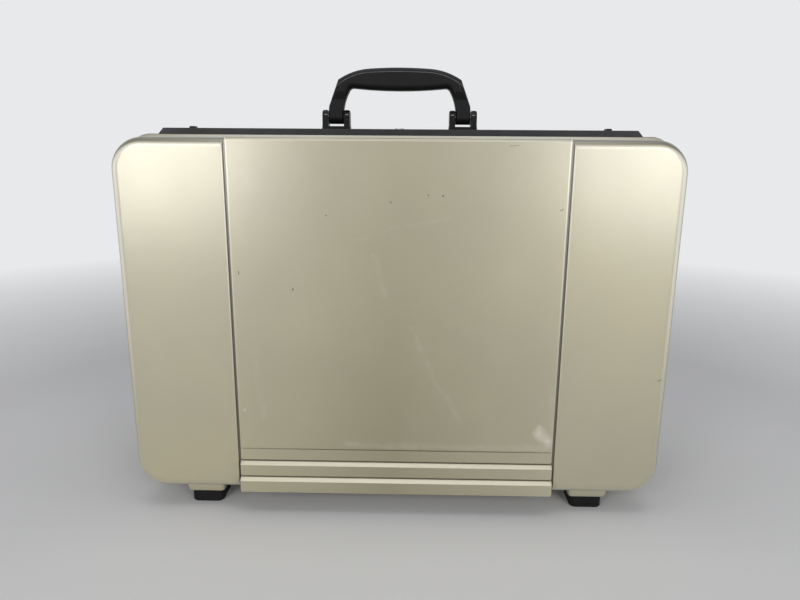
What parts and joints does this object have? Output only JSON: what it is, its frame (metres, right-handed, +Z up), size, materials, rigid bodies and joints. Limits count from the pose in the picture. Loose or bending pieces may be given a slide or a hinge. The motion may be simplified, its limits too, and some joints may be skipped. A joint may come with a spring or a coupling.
{
  "type": "endoscope carrying case",
  "caption": "Hard moulded carrying case with a hinged lid, slide latches, a key lock, a folding handle and cut foam for an endoscope.",
  "frame": {"origin": "centre of the bounding box's underside, on the floor under the middle of the closed case", "axes": "+X to the right of someone facing the front shell, +Y away from them through the depth, +Z up"},
  "size_m": [0.632, 0.1992, 0.5198],
  "materials": {
    "champagne_shell": "satin metallic paint on moulded plastic",
    "black_frame": "fine-grained black plastic",
    "black_handle": "satin black plastic",
    "black_knob": "satin black plastic",
    "steel": "plated steel",
    "rubber_foot": "black rubber",
    "foam": "charcoal open-cell foam"
  },
  "bodies": {
    "base": {"rear_shell": "champagne_shell", "base_frame": "black_frame", "top_strip_rear": "black_frame", "handle_bracket_left": "black_handle", "handle_bracket_right": "black_handle", "lock_body": "steel", "latch_tray_left": "steel", "latch_spring_left": "steel", "handle_pin_left": "steel", "hinge_pin_left": "steel", "hinge_leaf_base_left": "steel", "rear_foot_left": "rubber_foot", "latch_tray_right": "steel", "latch_spring_right": "steel", "handle_pin_right": "steel", "hinge_pin_right": "steel", "hinge_leaf_base_right": "steel", "rear_foot_right": "rubber_foot", "gasket": "rubber_foot", "base_foam_floor": "foam", "base_foam_tray": "foam", "base_foam_island": "foam"},
    "lid": {"front_shell": "champagne_shell", "lid_frame": "black_frame", "top_strip_front": "black_frame", "latch_tongue_left": "steel", "latch_tongue_right": "steel", "lock_keeper": "steel", "lid_foam": "foam", "front_foot_left": "rubber_foot", "front_foot_right": "rubber_foot", "hinge_leaf_lid_left": "steel", "hinge_leaf_lid_right": "steel"},
    "handle": {"handle_body": "black_handle", "handle_cover": "black_handle"},
    "lock_plug": {"lock_cylinder": "steel", "lock_cam": "steel"},
    "latch_slider_left": {"latch_slider_left": "black_knob"},
    "latch_slider_right": {"latch_slider_right": "black_knob"}
  },
  "joints": [
    {"name": "lid_hinge", "type": "hinge", "parent": "base", "child": "lid", "pos_m": [0, 0, 0.0198], "axis": [1, 0, 0], "range_deg": [0, 100]},
    {"name": "handle_fold", "type": "hinge", "parent": "base", "child": "handle", "pos_m": [0, 0.009, 0.4638], "axis": [1, 0, 0], "range_deg": [-85, 85]},
    {"name": "lock_turn", "type": "hinge", "parent": "base", "child": "lock_plug", "pos_m": [0, 0.009, 0.4473], "axis": [0, 0, 1], "range_deg": [0, 90]},
    {"name": "latch_slide_left", "type": "slide", "parent": "base", "child": "latch_slider_left", "axis": [-1, 0, 0], "range_m": [0, 0.007], "stiffness_N_per_m": 250, "springref_m": -0.004, "deforming": ["latch_spring_left"]},
    {"name": "latch_slide_right", "type": "slide", "parent": "base", "child": "latch_slider_right", "axis": [1, 0, 0], "range_m": [0, 0.007], "stiffness_N_per_m": 250, "springref_m": -0.004, "deforming": ["latch_spring_right"]}
  ]
}
